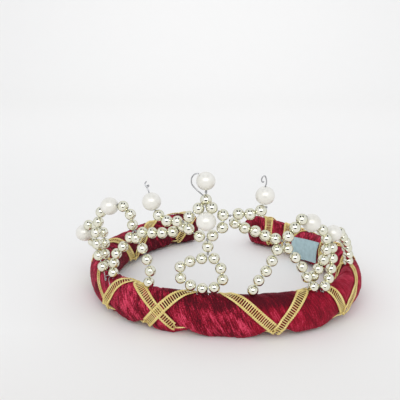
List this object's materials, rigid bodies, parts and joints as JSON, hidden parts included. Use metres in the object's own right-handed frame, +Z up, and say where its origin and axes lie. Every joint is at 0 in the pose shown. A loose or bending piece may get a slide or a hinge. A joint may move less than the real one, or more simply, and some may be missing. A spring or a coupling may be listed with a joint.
{
  "type": "diadem",
  "caption": "Open padded hoop diadem in crimson velvet wound with gold ladder braid, with a wired crown of silver beads and pearls. It rests on a surface.",
  "frame": {"origin": "centre of the bounding box at its base, on the surface that the hoop lies on", "axes": "+Z up, -Y towards the front with the bead crown, +Y towards the open back, +X to the right of the diadem as seen from the front"},
  "size_m": [0.1742, 0.1636, 0.0896],
  "materials": {
    "velvet": "crimson crushed velvet with a short pile",
    "gold_braid": "metallic gold thread ladder braid",
    "patch_cloth": "matt pale blue woven tape",
    "silver_bead": "bright warm silver plating",
    "bright_wire": "bright drawn wire",
    "pearl": "glossy cream pearl coating"
  },
  "bodies": {
    "root": {"velvet_band": "velvet", "falling_braid": "gold_braid", "rising_braid": "gold_braid", "inner_patch": "patch_cloth", "centre_loop": "silver_bead", "flower_ring": "silver_bead", "left_strand": "silver_bead", "left_loop_fall": "silver_bead", "left_outer_leg": "silver_bead", "left_inner_leg": "silver_bead", "left_side_rise": "silver_bead", "right_strand": "silver_bead", "right_loop_fall": "silver_bead", "right_outer_leg": "silver_bead", "right_inner_leg": "silver_bead", "right_side_rise": "silver_bead", "right_side_fall": "silver_bead", "left_spike": "silver_bead", "left_loop_rise": "silver_bead", "left_side_fall": "silver_bead", "right_spike": "silver_bead", "right_loop_rise": "silver_bead", "centre_stem": "silver_bead", "top_stem": "silver_bead", "top_pearl_wire": "bright_wire", "left_spike_tip": "bright_wire", "right_spike_hook": "bright_wire", "flower_pearl": "pearl", "top_pearl": "pearl", "left_spike_pearl": "pearl", "right_spike_pearl": "pearl", "left_loop_pearl": "pearl", "right_loop_pearl": "pearl", "left_side_pearl": "pearl", "right_side_pearl": "pearl"}
  },
  "joints": []
}
